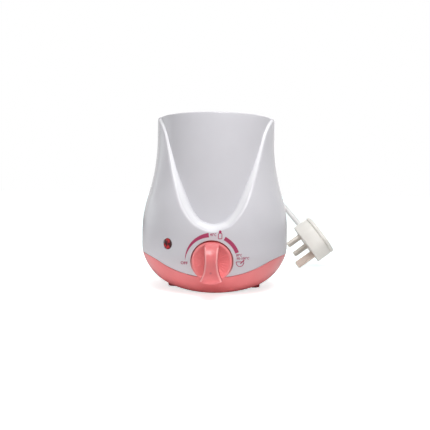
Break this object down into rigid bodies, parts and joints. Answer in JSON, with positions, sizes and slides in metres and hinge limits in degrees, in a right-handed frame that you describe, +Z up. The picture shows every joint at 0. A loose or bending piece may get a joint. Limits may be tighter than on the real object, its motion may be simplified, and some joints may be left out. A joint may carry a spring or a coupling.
{
  "type": "bottle warmer",
  "caption": "Bell-shaped electric bottle warmer on a bowl-shaped base, with a scooped front, a heated round well, a rotary temperature knob, an indicator lamp and a mains lead with plug.",
  "frame": {"origin": "On the table under the bell's axis: the bottom centre of the object's own box, without the free cord and plug.", "axes": "+Z is up, out of the well. -Y is the front, with the knob. +X is to the right of a viewer who faces the knob."},
  "size_m": [0.2055, 0.2641, 0.15],
  "materials": {
    "housing_white": "glossy moulded polypropylene",
    "base_pink": "glossy moulded polypropylene",
    "knob_pink": "glossy moulded polypropylene",
    "lens_red": "clear red, faceted",
    "well_metal": "drawn and anodised",
    "silicone": "soft matte",
    "foot_rubber": "soft matte",
    "steel": "zinc plated",
    "brass": "machined",
    "ceramic": "glazed ceramic",
    "black_resin": "moulded resin",
    "lamp_glass": "clear glass",
    "insulation": "extruded sleeve",
    "cord_white": "extruded, satin",
    "plug_cream": "moulded, satin",
    "pin_plastic": "moulded"
  },
  "bodies": {
    "warmer": {"outer_housing": "housing_white", "base_cover": "base_pink", "base_screws": "steel", "feet": "foot_rubber", "inner_cup": "well_metal", "cup_gasket": "silicone", "heater_plate": "well_metal", "ptc_heater": "ceramic", "heater_bracket": "steel", "heater_screws": "steel", "thermal_fuse": "ceramic", "sensor_bulb": "brass", "tube_clips": "steel", "capillary_tube": "brass", "thermostat_body": "black_resin", "thermostat_nut": "steel", "indicator_lens": "lens_red", "lamp_ring": "black_resin", "neon_lamp": "lamp_glass", "lamp_leads": "insulation", "terminal_block": "ceramic", "mains_leads": "insulation", "heater_leads": "insulation", "strain_relief": "cord_white", "inner_cord": "cord_white", "cord_grip": "black_resin", "cord_grip_screws": "steel", "cord_lead": "cord_white", "cord_coil": "cord_white", "cord_tail": "cord_white", "cord_tie": "silicone", "plug_body": "plug_cream", "plug_cover": "plug_cream", "plug_line_pins": "brass", "plug_earth_pin": "pin_plastic", "plug_fuse": "ceramic", "fuse_carrier": "pin_plastic"},
    "knob": {"knob": "knob_pink", "knob_clip": "steel", "thermostat_spindle": "steel"}
  },
  "joints": [
    {"name": "knob_turn", "type": "hinge", "parent": "warmer", "child": "knob", "pos_m": [0, -0.06, 0.0303], "axis": [0, 1, 0], "range_deg": [-90, 90]}
  ]
}
